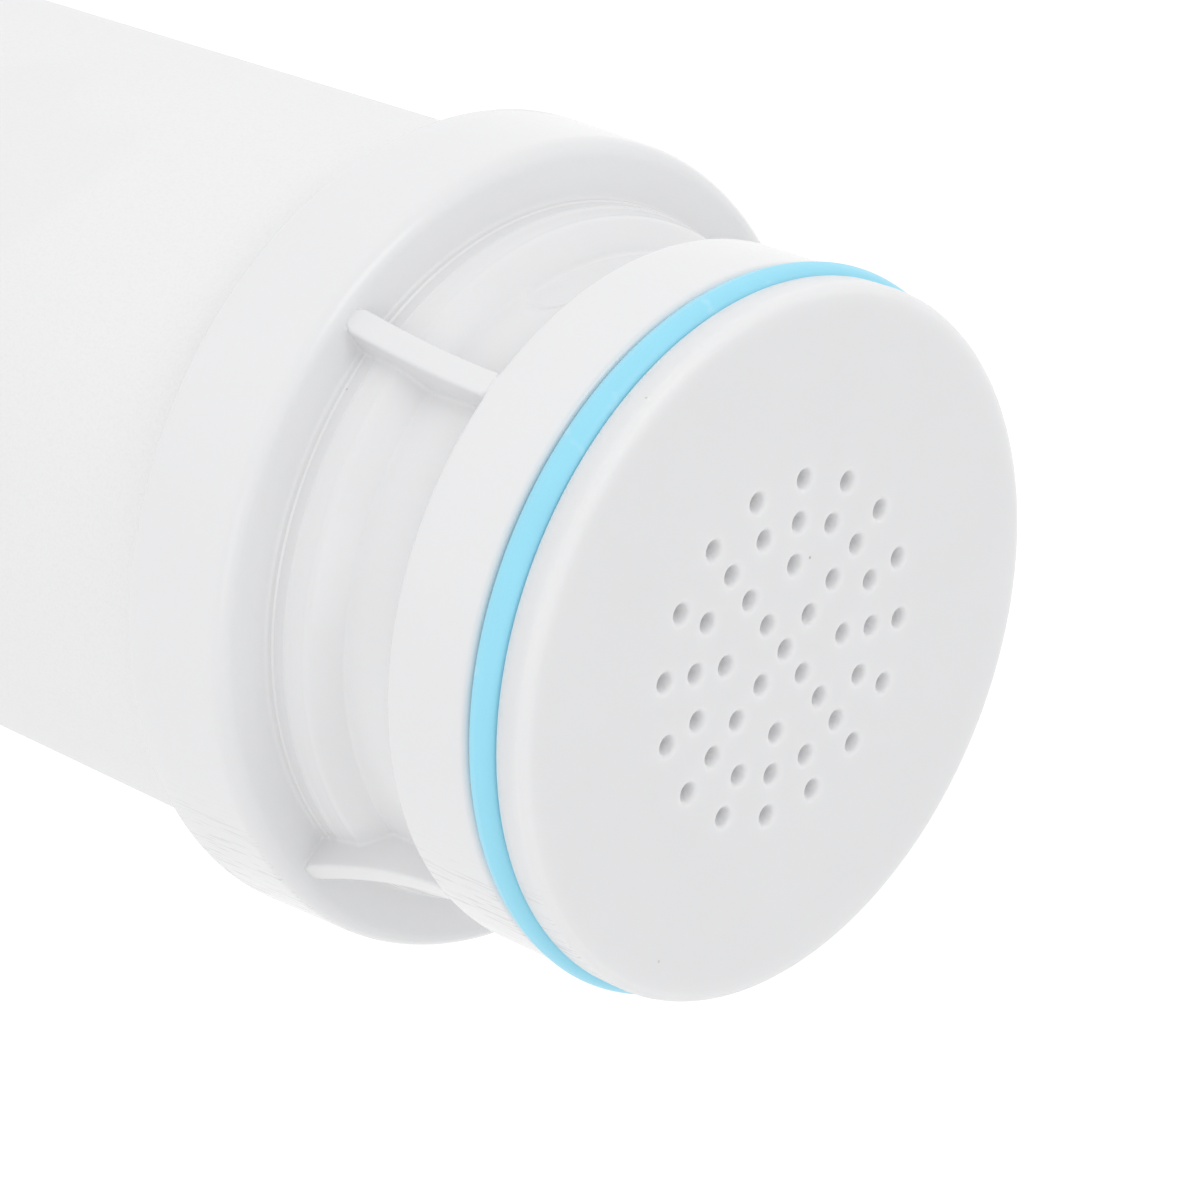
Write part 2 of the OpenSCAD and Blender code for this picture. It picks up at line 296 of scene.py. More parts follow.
def outline_of_neck():
    """Back edge of the flange, waist, ramp, stepped band and collar face, going down."""
    back_r = waist_r + waist_fillet
    points = arc((flange_r - flange_round, flange_bottom + flange_round), flange_round, 0, -90, back_steps)
    points += line((flange_r - flange_round, flange_bottom), (back_r, flange_bottom), 2)[1:]
    points += arc((back_r, flange_bottom - waist_fillet), waist_fillet, 90, 180, 9)
    points += line((waist_r, flange_bottom - waist_fillet - 0.15), (waist_r, ramp_top + foot_soft / 2), 26)
    points += ramp_and_shoulder()
    points += line((shoulder_r + 0.02, band_top - shoulder_round - 0.1), (band_root(), witness_1 + 0.1), 3)
    points += small_step(band_root(), witness_1, witness_h * first_step_share)
    strip_start = (band_root() + witness_h * 0.65, witness_1 - 0.15)
    strip_end = (band_root() + witness_h, witness_2 + 0.1)
    points += line(strip_start, strip_end, 2)
    points += small_step(band_root() + witness_h, witness_2, witness_h)
    root = band_root() + 2 * witness_h
    points += arc((root + 0.25, collar_face + 0.25), 0.25, 180, 270, 4)
    points += line((root + 0.45, collar_face), (collar_closed_r - collar_round - 0.25, collar_face), 7)
    return points


def band_root():
    """Radius at the foot of the sloping band."""
    return shoulder_r + step_slope


def outline_of_collar():
    """Collar's rounded edge, side, open end, socket and bore, going down and back up."""
    centre = (collar_closed_r - collar_round, collar_face - collar_round)
    lip = collar_open_r - open_edge
    points = line((collar_closed_r - collar_round - 0.25, collar_face), (centre[0], collar_face), 1)
    points += arc(centre, collar_round, 90, 0, 12)
    points += line((collar_closed_r + 0.005, centre[1] - 0.2), (collar_open_r, collar_end + open_edge), 5)[1:]
    points += arc((lip, collar_end + open_edge), open_edge, 0, -90, 4)
    points += line((lip - 0.2, collar_end), (socket_r + 0.1, collar_end), 3)
    points += [(socket_r, collar_end + 0.1), (socket_r, seat), (bore_r, seat)]
    points += line((bore_r, seat + 0.5), (bore_r, top - plate_t), 4)
    return points


above = outline_above_neck()
neck = outline_of_neck()
below = outline_of_collar()
cap_outline = above + neck + below
print("neck outline:", len(above), "+", len(neck), "+", len(below), "points")

# %% Rib edges: one point above each point of the neck


def rib_edge():
    """For each point of the neck's outline, the point of the rib's hollow edge that it rises to."""
    start = (flange_r - rib_inset, flange_bottom)
    end = (start[0] + rib_flare, collar_face)
    chord = math.dist(start, end)
    reach = math.sqrt(rib_hollow_r**2 - chord**2 / 4)
    across = ((start[1] - end[1]) / chord, (end[0] - start[0]) / chord)
    centre = ((start[0] + end[0]) / 2 + across[0] * reach, (start[1] + end[1]) / 2 + across[1] * reach)
    first = math.atan2(start[1] - centre[1], start[0] - centre[0])
    last = math.atan2(end[1] - centre[1], end[0] - centre[0])
    if last - first > math.pi:
        last -= math.tau
    if first - last > math.pi:
        last += math.tau
    walked = [0.0]
    for a, b in zip(neck[back_steps:], neck[back_steps + 1 :]):
        walked.append(walked[-1] + math.dist(a, b))
    edge = [(flange_r - rib_inset * i / back_steps, neck[i][1]) for i in range(back_steps)]
    for distance in walked:
        angle = first + (last - first) * distance / walked[-1]
        edge.append((centre[0] + rib_hollow_r * math.cos(angle), centre[1] + rib_hollow_r * math.sin(angle)))
    return edge


edge_points = rib_edge()
rib_ends = [[round(v, 2) for v in point] for point in (edge_points[0], edge_points[-1])]
print("rib edge runs from", rib_ends[0], "to", rib_ends[1])

# %% Cross-section of a rib: distance from its middle and height above the neck
rib_fillet = 0.3
rib_soft = 0.22
rib_reach = rib_t / 2 + rib_fillet * 1.8


def rib_section(height):
    """Half a rib from its foot to its middle, for one height, as (distance, height) pairs."""
    fillet = min(rib_fillet, height * 0.45)
    soft = min(rib_soft, height * 0.3)
    half = rib_t / 2
    points = [(rib_reach, 0.0)]
    for i in range(5):
        angle = math.radians(90 * i / 4)
        points.append((half + fillet - fillet * math.sin(angle), fillet - fillet * math.cos(angle)))
    for i in range(1, 5):
        points.append((half, fillet + (height - soft - fillet) * i / 5))
    for i in range(4):
        angle = math.radians(90 * i / 3)
        points.append((half - soft + soft * math.cos(angle), height - soft + soft * math.sin(angle)))
    points += [(half * 0.4, height), (0.0, height)]
    flat = 1 - min(height / 0.8, 1.0)
    count = len(points)
    spread = [rib_reach - rib_reach * i / (count - 1) for i in range(count)]
    return [(y + (s - y) * flat, h) for (y, h), s in zip(points, spread)]


section_count = len(rib_section(1.0))
print("a rib's half section has", section_count, "points")

# %% Columns round the neck: plain ones between the ribs, and a set across each rib
plain_columns = (96, 180)


def columns_round_the_neck():
    """One entry per column: ("plain", angle) or ("rib", rib's angle, section index, side)."""
    columns = []
    reach = math.asin(rib_reach / waist_r)
    pitch = math.tau / rib_count
    for k in range(rib_count):
        middle = k * pitch
        for index in range(section_count):
            columns.append(("rib", middle, index, -1))
        for index in range(section_count - 2, -1, -1):
            columns.append(("rib", middle, index, 1))
        count = plain_columns[(k + 1) % 2]
        gap = pitch - 2 * reach
        for i in range(1, count):
            columns.append(("plain", middle + reach + gap * i / count))
    return columns


columns = columns_round_the_neck()
print("columns round the neck:", len(columns))

# %% Place every point of the moulding
recess_middles = (math.radians(135), math.radians(315))
recess_reach = math.radians(recess_angle / 2) - math.asin(recess_w / 2 / waist_r)
recess_z = flange_bottom - recess_gap - recess_w / 2
recess_floor = waist_r - recess_depth
recess_soft = 0.5
first_neck_row = len(above)
last_neck_row = first_neck_row + len(neck)
sections = [rib_section(math.dist(a, b)) for a, b in zip(neck, edge_points)]


def sunk(angle, r, z):
    """Radius after the shallow recess has been cut, with soft walls and round ends."""
    if r > waist_r + 1.2 or abs(z - recess_z) > recess_w:
        return r
    for middle in recess_middles:
        turn = abs((angle - middle + math.pi) % math.tau - math.pi)
        along = max(turn - recess_reach, 0.0) * waist_r
        outside = math.hypot(along, z - recess_z) - recess_w / 2
        r -= (r - recess_floor) * (1 - ease(outside / recess_soft + 0.5))
    return r


def place_on_cap(i, j):
    column = columns[j]
    r, z = cap_outline[i]
    in_neck = first_neck_row <= i < last_neck_row
    if column[0] == "plain":
        if in_neck:
            r = sunk(column[1], r, z)
        return r * math.cos(column[1]), r * math.sin(column[1]), z
    middle, index, side = column[1:]
    if in_neck:
        row = i - first_neck_row
        y, height = sections[row][index]
        total = math.dist(neck[row], edge_points[row])
        share = height / total if total > 1e-6 else 0.0
        x = math.sqrt(r * r - y * y)
        x += (edge_points[row][0] - x) * share
        z += (edge_points[row][1] - z) * share
    else:
        y = rib_section(0.0)[index][0]
        x = math.sqrt(r * r - y * y)
    y *= side
    return (
        x * math.cos(middle) - y * math.sin(middle),
        x * math.sin(middle) + y * math.cos(middle),
        z,
    )


neck_and_collar = grid_solid("neck_and_collar", len(cap_outline), len(columns), place_on_cap)
stand_for(neck_and_collar, "front_cap", "cap_white")

# %% [markdown]
# ## O-ring
#
# A silicone O-ring is pressed in a two-part mould, and a hair-thin line of flash is left where the
# halves met. A circle alone looks like a drawn tube, so the outline carries that line as a low bead
# on the outside. The section is a full circle: it only flattens once it is in its housing.

# %% Turn the O-ring
ring_centre = (ring_outer_r - ring_d / 2, (ring_low + ring_high) / 2)
flash_height = 0.035
flash_width = 9.0


def ring_outline(steps):
    """The O-ring's section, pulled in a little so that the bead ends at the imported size."""
    points = []
    for i in range(steps):
        degrees = 360 * i / steps
        away = min(degrees, 360 - degrees)
        size = ring_d / 2 - flash_height * ease(away / flash_width)
        angle = math.radians(-degrees)
        points.append((ring_centre[0] + size * math.cos(angle), ring_centre[1] + size * math.sin(angle)))
    return points


o_ring = turned("o_ring", ring_outline(72), 420)
stand_for(o_ring, "front_o_ring", "seal_blue")

# %% [markdown]
# ## Outlet plate
#
# The plate is a disc with a rounded rim, a short spigot behind it and 45 holes with soft mouths. The
# rim and spigot are turned. Holes could be cut with a Boolean, but each mouth would then end in thin
# triangles that catch the light. Here every hole is its own small turned surface, and the flat faces
# between them are filled afterwards, so they stay truly flat up to the edge of each mouth. Behind its
# mouth each hole narrows far more than a moulding pin needs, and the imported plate's holes are straight.
# That is done for the shading only: it lets light reach the wall, which is too dark otherwise.

# %% Where the holes are


def hole_centres(rings, pitch):
    """One hole in the middle, then rings of holes at whole multiples of a pitch."""
    centres = [(0.0, 0.0)]
    for ring, count in rings:
        for i in range(count):
            angle = math.tau * i / count
            centres.append((ring * pitch * math.cos(angle), ring * pitch * math.sin(angle)))
    return centres


print("outlet holes:", len(hole_centres(outlet_rings, hole_pitch)))

# %% Build a plate full of holes


def add_loop(mesh, centre, r, z, steps):
    """A ring of points in the mesh, in mm."""
    points = []
    for j in range(steps):
        angle = math.tau * j / steps
        spot = (centre[0] + r * math.cos(angle), centre[1] + r * math.sin(angle), z)
        points.append(mesh.verts.new(Vector(spot) * MM))
    return points


def add_skin(mesh, loops):
    """Four-sided faces between one loop and the next."""
    for upper, lower in zip(loops, loops[1:]):
        count = len(upper)
        for j in range(count):
            k = (j + 1) % count
            mesh.faces.new((upper[j], lower[j], lower[k], upper[k]))


def edges_of(mesh, loop):
    """The edges along a closed loop of points."""
    return [mesh.edges.get((a, b)) or mesh.edges.new((a, b)) for a, b in zip(loop, loop[1:] + loop[:1])]


def perforated(piece_name, outline, hole, centres, rim_columns, hole_columns):
    """A turned outline from its upper to its lower flat face, filled in round many small holes."""
    mesh = bmesh.new()
    rim = [add_loop(mesh, (0, 0), r, z, rim_columns) for r, z in outline]
    add_skin(mesh, rim)
    edges = {0: edges_of(mesh, rim[0]), -1: edges_of(mesh, rim[-1])}
    for centre in centres:
        loops = [add_loop(mesh, centre, r, z, hole_columns) for r, z in hole]
        add_skin(mesh, loops)
        for end in (0, -1):
            edges[end] += edges_of(mesh, loops[end])
    for end in (0, -1):
        bmesh.ops.triangle_fill(mesh, use_beauty=True, use_dissolve=False, edges=edges[end])
    return finish_mesh(mesh, piece_name)


# %% Shape the outlet plate
field_r = 4 * hole_pitch + hole_r + hole_lip + 0.6
spigot_bottom = cotton_high
spigot_r = bore_r - fit_gap
pocket_r = spigot_r - wall
plate_bottom = top - plate_t
throat_taper = 20
throat_depth = 1.2


def plate_outline():
    """From the flat face outward, round the rim, along the spigot and back in behind it."""
    points = line((field_r, top), (plate_r - plate_round - 0.3, top), 4)
    points += line((plate_r - plate_round - 0.3, top), (plate_r - plate_round, top), 1)
    points += arc((plate_r - plate_round, top - plate_round), plate_round, 90, 0, 9)
    points += line((plate_r, top - plate_round - 0.2), (plate_r, plate_bottom + 0.12), 3)
    points += arc((plate_r - 0.12, plate_bottom + 0.12), 0.12, 0, -90, 3)
    points += [(spigot_r, plate_bottom), (spigot_r, spigot_bottom + 0.3)]
    points += [(spigot_r - 0.3, spigot_bottom), (pocket_r + 0.2, spigot_bottom)]
    points += [(pocket_r, spigot_bottom + 0.2), (pocket_r, plate_bottom), (field_r, plate_bottom)]
    return points


def hole_outline():
    """From the face into a hole: a flat hairline, the soft mouth, a tapered throat and the bore."""
    mouth = (hole_r + hole_lip, top - hole_lip)
    points = [(hole_r + hole_lip + 0.05, top)]
    points += arc(mouth, hole_lip, 90, 180 - throat_taper, 7)
    drop = points[-1][1] - (top - throat_depth)
    throat_r = points[-1][0] - drop * math.tan(math.radians(throat_taper))
    points += line(points[-1], (throat_r, top - throat_depth), 3)[1:]
    points += [(throat_r, top - throat_depth), (throat_r, plate_bottom)]
    return points


outlet_disc = perforated(
    "outlet_disc", plate_outline(), hole_outline(), hole_centres(outlet_rings, hole_pitch), 288, 36
)
stand_for(outlet_disc, "outlet_plate", "plate_white")

# %% [markdown]
# ## Tube
#
# The tube is extruded and cut to length, so its ends are square and only the burr is taken off. Both
# ends are hidden in the collars, and what counts is a long side that is straight and even.

# %% Turn the tube
tube_bore = tube_r - wall
burr = 0.15


def tube_outline():
    """Down the outside and back up the bore."""
    points = line((tube_r - burr, tube_high), (tube_r, tube_high - burr), 1)
    points += line((tube_r, tube_high - burr), (tube_r, tube_low + burr), 24)
    points += [(tube_r, tube_low + burr), (tube_r - burr, tube_low), (tube_bore + burr, tube_low)]
    points += line((tube_bore, tube_low + burr), (tube_bore, tube_high - burr), 6)
    points += [(tube_bore, tube_high - burr), (tube_bore + burr, tube_high)]
    return points


outer_tube = turned("outer_tube", tube_outline(), 512)
stand_for(outer_tube, "shell_tube", "tube_white")

# %% [markdown]
# ## Rear cap
#
# The rear cap mirrors the collar and adds a foot ring with four notches, so that water still gets in
# when the cartridge stands on a flat floor. Its feet are four short arcs with straight, parallel
# gaps. As on the neck, the feet are part of the grid: where a column crosses a notch, the rows of
# the foot stay up at the underside.

# %% Sizes of the rear cap
rear_low, rear_high = heights("rear_cap")
rear_open_r = radius("rear_cap")
inlet_low, inlet_high = heights("inlet_plate")
inlet_r = radius("inlet_plate")
inlet_t = 1.4
foot_h = inlet_low
foot_r = collar_closed_r - collar_round - 0.5
foot_w = 4.0
foot_round = 0.3
notch_w = 8.0
notch_count = 4
pocket_edge = inlet_r + fit_gap
ledge_bore = pocket_edge - 2.0
print("rear cap from", round(rear_low, 2), "to", round(rear_high, 2), "foot radius", round(foot_r, 2))

# %% Outline of the rear cap


def rear_outline():
    """Up the side from the underside, round the open end, down the socket, bore and underside."""
    centre = (collar_closed_r - collar_round, foot_h + collar_round)
    lip = rear_open_r - open_edge
    points = arc(centre, collar_round, -90, 0, 12)
    points += line((collar_closed_r + 0.005, centre[1] + 0.2), (rear_open_r, rear_high - open_edge), 6)[1:]
    points += arc((lip, rear_high - open_edge), open_edge, 0, 90, 4)
    points += line((lip - 0.2, rear_high), (socket_r + 0.1, rear_high), 3)
    points += [(socket_r, rear_high - 0.1), (socket_r, foot_h + collar_floor)]
    points += [(ledge_bore, foot_h + collar_floor), (ledge_bore, foot_h + inlet_t)]
    points += [(pocket_edge, foot_h + inlet_t), (pocket_edge, foot_h + 0.1), (pocket_edge + 0.1, foot_h)]
    return points


def foot_outline():
    """Across the foot, inside to outside, as (radius, drop below the underside)."""
    inner, outer, low = foot_r - foot_w, foot_r, foot_h - foot_round
    points = [(inner - 0.15, 0.0), (inner - 0.04, 0.04), (inner, 0.15)]
    points += [(r, -z) for r, z in arc((inner + foot_round, -low), foot_round, 180, 270, 4)]
    points += line((inner + foot_round + 0.1, foot_h), (outer - foot_round, foot_h), 4)
    points += [(r, -z) for r, z in arc((outer - foot_round, -low), foot_round, 270, 360, 4)]
    points += [(outer, 0.15), (outer + 0.04, 0.04), (outer + 0.15, 0.0)]
    return points


cap_side = rear_outline()
foot = foot_outline()
print("rear cap outline:", len(cap_side), "+", len(foot), "points")

# %% Columns and points of the rear cap
notch_edge = (0.0, 0.03, 0.12, 0.25, 0.42, 0.6)
edge_rise = (1.0, 0.75, 0.42, 0.18, 0.05, 0.0)
foot_columns = 60
gap_columns = 14


def rear_columns():
    """One entry per column: (notch's angle, kind, value). The value is a share of a gap's or a
    foot's width, or a distance past the notch's edge."""
    columns = []
    for k in range(notch_count):
        middle = k * math.tau / notch_count
        for i in range(gap_columns):
            columns.append((middle, "gap", -1 + 2 * i / gap_columns))
        for d in notch_edge:
            columns.append((middle, "after", d))
        for i in range(1, foot_columns):
            columns.append((middle, "foot", i / foot_columns))
        for d in reversed(notch_edge):
            columns.append((middle + math.tau / notch_count, "before", d))
    return columns


def place_on_rear(i, j):
    middle, kind, value = rear_layout[j]
    on_foot = i >= len(cap_side)
    r, z = foot[i - len(cap_side)] if on_foot else cap_side[i]
    half = notch_w / 2
    rise = 0.0
    if kind == "gap":
        angle = middle + math.asin(half * value / r)
        rise = 1.0
    elif kind == "foot":
        start = math.asin((half + notch_edge[-1]) / r)
        angle = middle + start + (math.tau / notch_count - 2 * start) * value
    else:
        side = 1 if kind == "after" else -1
        angle = middle + side * math.asin((half + value) / r)
        rise = edge_rise[notch_edge.index(value)]
    if on_foot:
        z = foot_h - min(z, foot_h * (1 - rise))
    return r * math.cos(angle), r * math.sin(angle), z


rear_layout = rear_columns()
rear_moulding = grid_solid("rear_collar", len(cap_side) + len(foot), len(rear_layout), place_on_rear)
stand_for(rear_moulding, "rear_cap", "cap_white")

# %% [markdown]
# ## Inlet plate
#
# The inlet plate is a thin cousin of the outlet plate, let into the rear cap from below. The same
# builder makes it: it only gets another outline, another hole and another pattern.

# %% Shape the inlet plate
inlet_rings = ((1, 6), (2, 12), (3, 18), (4, 24))
inlet_hole_r = 0.8
inlet_spigot_r = ledge_bore - fit_gap
inlet_pocket = inlet_spigot_r - wall
inlet_pitch = (inlet_pocket - 2.2 - 2 * inlet_hole_r) / len(inlet_rings)
inlet_field = 4 * inlet_pitch + inlet_hole_r + 0.5


def inlet_outline():
    """From the inner face outward: up and over the spigot, out to the rim and in along the underside."""
    inner_face = inlet_low + inlet_t
    points = [(inlet_field, inner_face), (inlet_pocket, inner_face), (inlet_pocket, inlet_high - 0.2)]
    points += [(inlet_pocket + 0.2, inlet_high), (inlet_spigot_r - 0.3, inlet_high)]
    points += [(inlet_spigot_r, inlet_high - 0.3), (inlet_spigot_r, inner_face), (inlet_r, inner_face)]
    points += [(inlet_r, inlet_low + 0.12)] + arc((inlet_r - 0.12, inlet_low + 0.12), 0.12, 0, -90, 3)[1:]
    points += line((inlet_r - 0.4, inlet_low), (inlet_field, inlet_low), 3) + [(inlet_field, inlet_low)]
    return points


def inlet_hole():
    """From the inner face down to a rounded mouth on the underside."""
    lip = 0.2
    points = [(inlet_hole_r, inlet_low + inlet_t), (inlet_hole_r, inlet_low + 0.6)]
    points += arc((inlet_hole_r + lip, inlet_low + lip), lip, 180, 270, 4)
    return points + [(inlet_hole_r + lip + 0.04, inlet_low)]


inlet_disc = perforated(
    "inlet_disc", inlet_outline(), inlet_hole(), hole_centres(inlet_rings, inlet_pitch), 240, 24
)
stand_for(inlet_disc, "inlet_plate", "plate_white")

# %% [markdown]
# ## Shader sums that read like sums
#
# Every finish below is procedural. Its patterns are sums and products of noises, and a tree of Math
# nodes is hard to read. So one small class wraps a node's output: writing a * b or 1 - a adds the
# Math node for it. Everything that isn't a sum comes from one method, which takes the node's kind,
# its settings and what its sockets hold.

# %% A wrapped output, and a finish that makes nodes


class Wire:
    """One output of a node. Sums with it add Math nodes."""

    def __init__(self, finish, socket):
        self.finish = finish
        self.socket = socket

    def sum(self, operation, *values, clamp=False):
        settings = {"operation": operation, "use_clamp": clamp}
        return self.finish.node("Math", settings, dict(enumerate(values)))

    def __add__(self, other):
        return self.sum("ADD", self, other)

    def __radd__(self, other):
        return self.sum("ADD", other, self)

    def __sub__(self, other):
        return self.sum("SUBTRACT", self, other)

    def __rsub__(self, other):
        return self.sum("SUBTRACT", other, self)

    def __mul__(self, other):
        return self.sum("MULTIPLY", self, other)

    def __rmul__(self, other):
        return self.sum("MULTIPLY", other, self)

    def __truediv__(self, other):
        return self.sum("DIVIDE", self, other)

    def __pow__(self, other):
        return self.sum("POWER", self, other)

    def above(self, edge, width):
        """0 below the edge, 1 above it, with a soft step of that width."""
        return self.finish.node(
            "MapRange",
            {"interpolation_type": "SMOOTHSTEP"},
            {"Value": self, "From Min": edge - width / 2, "From Max": edge + width / 2},
        )


class Finish:
    """A material with one Principled shader, and the nodes that feed it."""

    def __init__(self, title, colour, roughness, **constants):
        self.material = bpy.data.materials.new(title + "_finish")
        self.material.use_nodes = True
        self.material.diffuse_color = (*colour, 1)
        self.tree = self.material.node_tree
        self.shader = self.tree.nodes["Principled BSDF"]
        self.colour = colour
        self.roughness = roughness
        for socket, value in constants.items():
            self.feed(self.shader.inputs[socket.replace("_", " ")], value)
        self.place = self.node("TexCoord", output="Object")

    def feed(self, socket, value):
        if isinstance(value, Wire):
            self.tree.links.new(value.socket, socket)
        elif isinstance(value, tuple) and len(value) == 3 and socket.type == "RGBA":
            socket.default_value = (*value, 1)
        else:
            socket.default_value = value

    def node(self, kind, settings=None, sockets=None, output=0):
        """Any node: its kind, its settings first, then the values or links of its sockets."""
        node = self.tree.nodes.new("ShaderNode" + kind)
        for name, value in (settings or {}).items():
            setattr(node, name, value)
        for name, value in (sockets or {}).items():
            self.feed(node.inputs[name], value)
        return Wire(self, node.outputs[output])

    def noise(self, size, detail=2.0, stretch=(1, 1, 1), roughness=0.5):
        """Soft noise from 0 to 1 whose patches are about that many mm across."""
        scale = tuple(s / (size * MM) for s in stretch)
        at = self.node("Mapping", None, {"Vector": self.place, "Scale": scale})
        sockets = {"Vector": at, "Scale": 1.0, "Detail": detail, "Roughness": roughness}
        return self.node("TexNoise", None, sockets)

    def specks(self, spacing, share, size):
        """A mask of small dots: one cell in so many holds a dot of about that size, in mm."""
        scale = 1 / (spacing * MM)
        cell = {"Vector": self.place, "Scale": scale}
        distance = self.node("TexVoronoi", None, cell)
        chance = self.node("SeparateColor", None, {"Color": self.node("TexVoronoi", None, cell, "Color")})
        reach = size / 2 / spacing
        return (1 - distance.above(reach, reach)) * chance.above(1 - share, 0.01)

    def side_facing(self, bearing, share):
        """A mask of the outermost side that faces a bearing, cut where the cosine drops to a share."""
        around = math.radians(bearing)
        x, y, z = self.split(self.place)
        upright = self.split(self.node("TexCoord", output="Normal"))[2]
        reach = (x * x + y * y) ** 0.5
        cosine = (x * math.cos(around) + y * math.sin(around)) / reach
        outermost = reach.above((flange_r - flange_round) * MM, 0.2 * MM)
        on_rims = z.above(flange_bottom * MM, 0.2 * MM) + 1 - z.above(collar_face * MM, 0.2 * MM)
        return cosine.above(share, 0.12) * outermost * on_rims * (1 - (upright * upright).above(0.2, 0.2))

    def split(self, vector):
        """The three parts of a vector."""
        node = self.node("SeparateXYZ", None, {"Vector": vector}).socket.node
        return [Wire(self, output) for output in node.outputs]

    def blend(self, share, first, second):
        """A mix of two colours."""
        sockets = {"Factor": share, "A": first, "B": second}
        node = self.tree.nodes.new("ShaderNodeMix")
        node.data_type = "RGBA"
        for name, value in sockets.items():
            socket = [s for s in node.inputs if s.name == name and s.enabled][0]
            self.feed(socket, value)
        return Wire(self, [s for s in node.outputs if s.enabled][0])

    def bump(self, height, depth, under=None):
        """A relief of that many mm from a height of 0 to 1."""
        sockets = {"Height": height, "Distance": depth * MM, "Strength": 1.0}
        if under is not None:
            sockets["Normal"] = under
        return self.node("Bump", None, sockets)

    def apply(self, base=None, rough=None, normal=None):
        """Feeds the shader. What isn't given stays one value all over."""
        self.feed(self.shader.inputs["Base Color"], self.colour if base is None else base)
        self.feed(self.shader.inputs["Roughness"], self.roughness if rough is None else rough)
        if normal is not None:
            self.feed(self.shader.inputs["Normal"], normal)
        return self.material


def shade(colour, factor):
    """The same colour, lighter or darker."""
    return tuple(min(c * factor, 1.0) for c in colour)


print("shader helpers are ready")

# %% [markdown]
# ## Moulded white plastic
#
# Glossy moulded plastic is never a perfect mirror: the mould's polish leaves an even orange skin, the
# melt leaves broad, weak flow marks, and handling adds hairlines and a few specks of dust. The relief
# is a hundredth of a millimetre and the tones differ by a few per cent, so that none shows as a
# pattern by itself. The thin plates also let light in a little way, which softens their holes.

# %% Finish of the two caps and the plates


# Bearing of the rim side that is greyed as painted shade, with streaky scuffs on it.
shaded_side_bearing = 100


def moulded_plastic(title, colour, roughness, grain, warm, glow):
    """Smooth moulded plastic: flow marks, polish grain, hairlines, dust, and one rim side greyed by scuffs
    and painted shade.

    The glow is how far light travels inside, in mm. The grain is the size of the polish marks.
    """
    finish = Finish(title, colour, roughness, IOR=1.5)
    if glow:
        finish.feed(finish.shader.inputs["Subsurface Weight"], 1.0)
        finish.feed(finish.shader.inputs["Subsurface Scale"], glow * MM)
        finish.feed(finish.shader.inputs["Subsurface Radius"], (1.0, 1.0, 0.95))
    flow = finish.noise(9.0, 3.0, (1, 1, 0.35))
    grain_height = finish.noise(grain, 0.0)
    swell = finish.noise(2.4, 1.0)
    hairlines = finish.noise(0.5, 2.0, (1, 1, 0.05)).above(0.68, 0.05)
    dust = finish.specks(3.6, 0.07, 0.22)
    # Streaky scuffs on one side of the flange and collar rims, greyed well past their own tone: painted shade
    # on that side.
    scuffs_and_painted_shade = finish.noise(0.22, 3.0, (1, 1, 0.06)).above(0.60, 0.12) * finish.side_facing(shaded_side_bearing, 0.93)
    base = finish.blend(flow, shade(colour, 0.98), shade(colour, 1.015))
    base = finish.blend(swell * 0.3, base, warm)
    base = finish.blend(grain_height * 0.15, base, shade(colour, 0.94))
    base = finish.blend(dust * 0.65, base, (0.20, 0.18, 0.16))
    # Painted shade and scuffs: that side of the rims is mixed toward grey.
    base = finish.blend(scuffs_and_painted_shade * 0.40, base, (0.36, 0.36, 0.36))
    rough = roughness + (flow - 0.5) * 0.06 + (grain_height - 0.5) * 0.04 + (hairlines + scuffs_and_painted_shade) * 0.02
    relief = grain_height * 0.25 + swell * 0.75 - scuffs_and_painted_shade * 0.15
    return finish.apply(base, rough, finish.bump(relief, 0.010))


cap_white = moulded_plastic("cap_white", (0.78, 0.783, 0.797), 0.21, 0.35, (0.79, 0.78, 0.76), 0)
plate_white = moulded_plastic("plate_white", (0.755, 0.758, 0.77), 0.42, 0.18, (0.755, 0.745, 0.735), 1.4)
print("caps:", cap_white.name, "plates:", plate_white.name)

# %% [markdown]
# ## Grained tube
#
# The tube is a lighter white than the caps and has a fine, even grain like an eggshell, which spreads
# every highlight until none is left. Its colour drifts slightly along its length.

# %% Finish of the tube


def grained_plastic(title, colour, roughness):
    """Matt plastic with an eggshell grain and slow drifts of colour."""
    finish = Finish(title, colour, roughness, IOR=1.5, Specular_IOR_Level=0.4)
    fine = finish.noise(0.22, 3.0, roughness=0.6)
    coarse = finish.noise(1.1, 2.0)
    drift = finish.noise(26.0, 2.0, (1, 1, 0.6))
    patch = finish.noise(34.0, 1.0).above(0.60, 0.03)
    dust = finish.specks(3.2, 0.08, 0.2)
    base = finish.blend(drift, shade(colour, 0.98), shade(colour, 1.012))
    base = finish.blend(fine.above(0.56, 0.25) * 0.3, base, shade(colour, 0.90))
    base = finish.blend(patch * 0.4, base, shade(colour, 0.95))
    base = finish.blend(dust * 0.6, base, (0.24, 0.22, 0.19))
    rough = roughness + (coarse - 0.5) * 0.12
    return finish.apply(base, rough, finish.bump(fine * 0.7 + coarse * 0.3, 0.022))


tube_white = grained_plastic("tube_white", (0.82, 0.82, 0.826), 0.55)
print("tube:", tube_white.name)

# %% [markdown]
# ## Silicone
#
# Silicone rubber is satin, slightly see-through and picks up lint. Pale smears run round the ring
# where it was rolled into its groove.

# %% Finish of the O-ring


